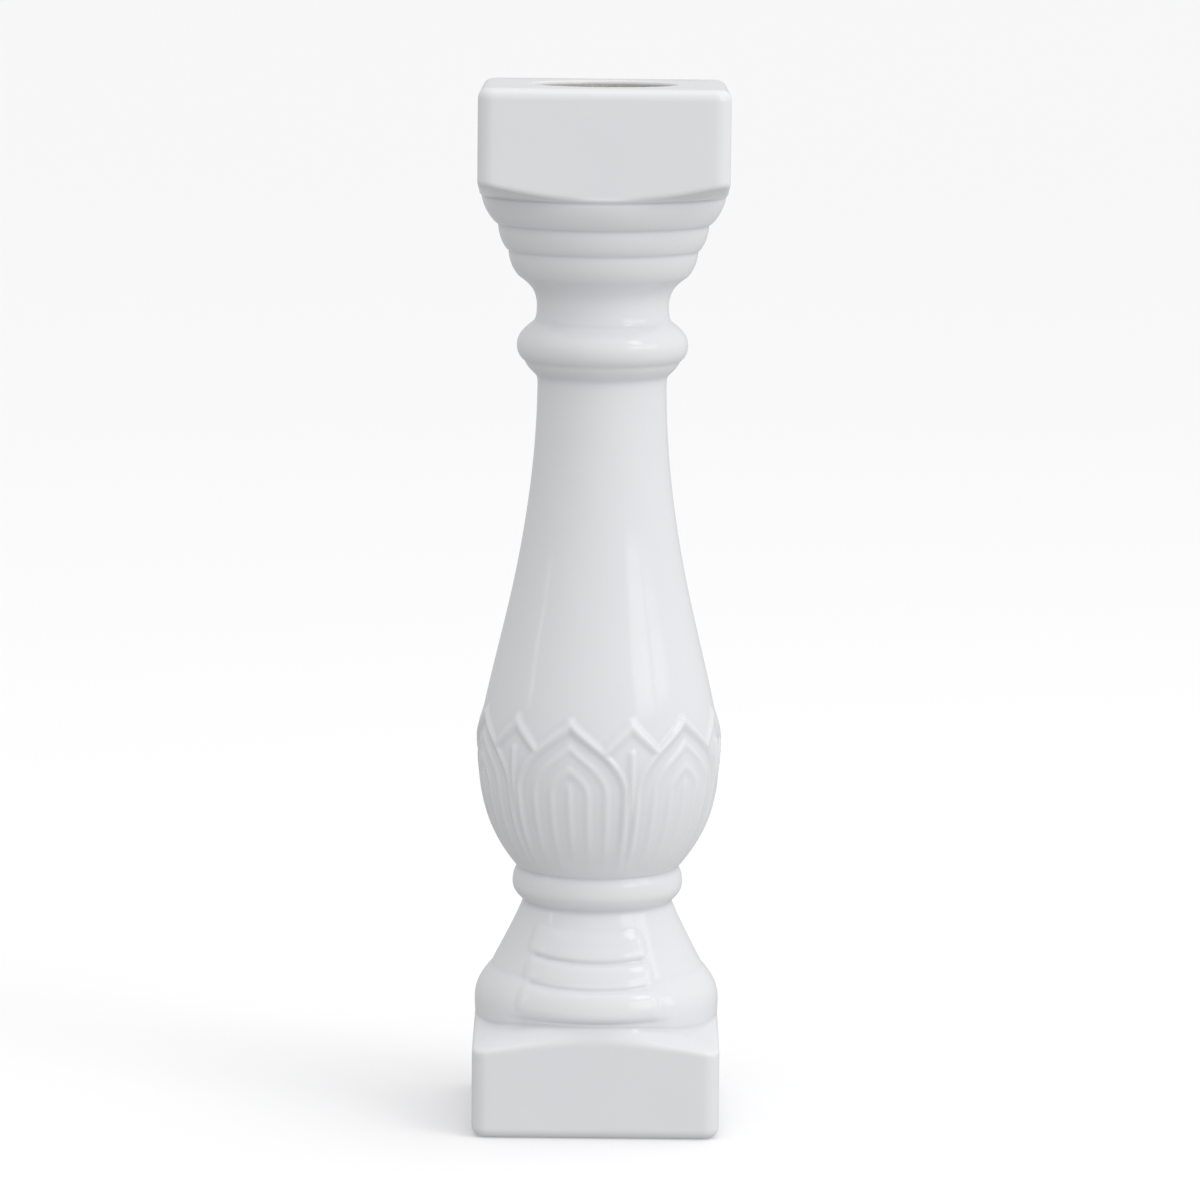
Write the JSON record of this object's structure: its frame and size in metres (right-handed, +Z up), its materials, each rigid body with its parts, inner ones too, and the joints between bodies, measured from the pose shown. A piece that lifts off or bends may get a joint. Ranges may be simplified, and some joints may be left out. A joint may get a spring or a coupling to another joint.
{
  "type": "ceramic baluster",
  "caption": "Hollow glazed ceramic baluster: square cap and plinth, turned rings, vase body with lotus petals round the belly, and a flared base with moulded bands.",
  "frame": {"origin": "middle of the underside of the square plinth, on the axis", "axes": "+Z up along the baluster's axis, -Y out of the front face with the moulded bands"},
  "size_m": [0.1206, 0.1206, 0.508],
  "materials": {
    "glaze": "glossy white glaze"
  },
  "bodies": {
    "root": {"baluster": "glaze"}
  },
  "joints": []
}
